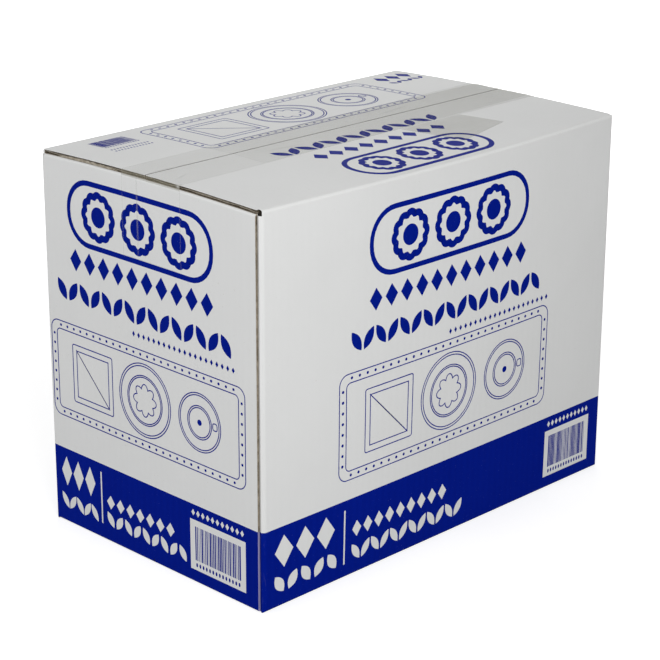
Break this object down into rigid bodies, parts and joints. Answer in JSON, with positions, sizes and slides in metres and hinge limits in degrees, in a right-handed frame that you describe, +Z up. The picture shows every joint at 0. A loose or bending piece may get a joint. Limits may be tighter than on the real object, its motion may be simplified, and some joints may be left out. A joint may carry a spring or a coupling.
{
  "type": "sealed corrugated carton",
  "caption": "Sealed white-lined corrugated shipping carton with a blue printed band, folded flaps and clear packing tape along its top seam.",
  "frame": {"origin": "middle of the carton's footprint, on the surface that it stands on", "axes": "+X along the long side panels, +Y towards the back long panel, +Z up; the end panel with the manufacturer's joint is at -X"},
  "size_m": [0.4412, 0.279, 0.346],
  "materials": {
    "board": "white uncoated liner, printed in one flat blue",
    "tape": "clear packing tape, slightly yellow, glossy"
  },
  "bodies": {
    "root": {"carton": "board", "seam_tape": "tape", "second_tape": "tape", "tape_patch": "tape"}
  },
  "joints": []
}
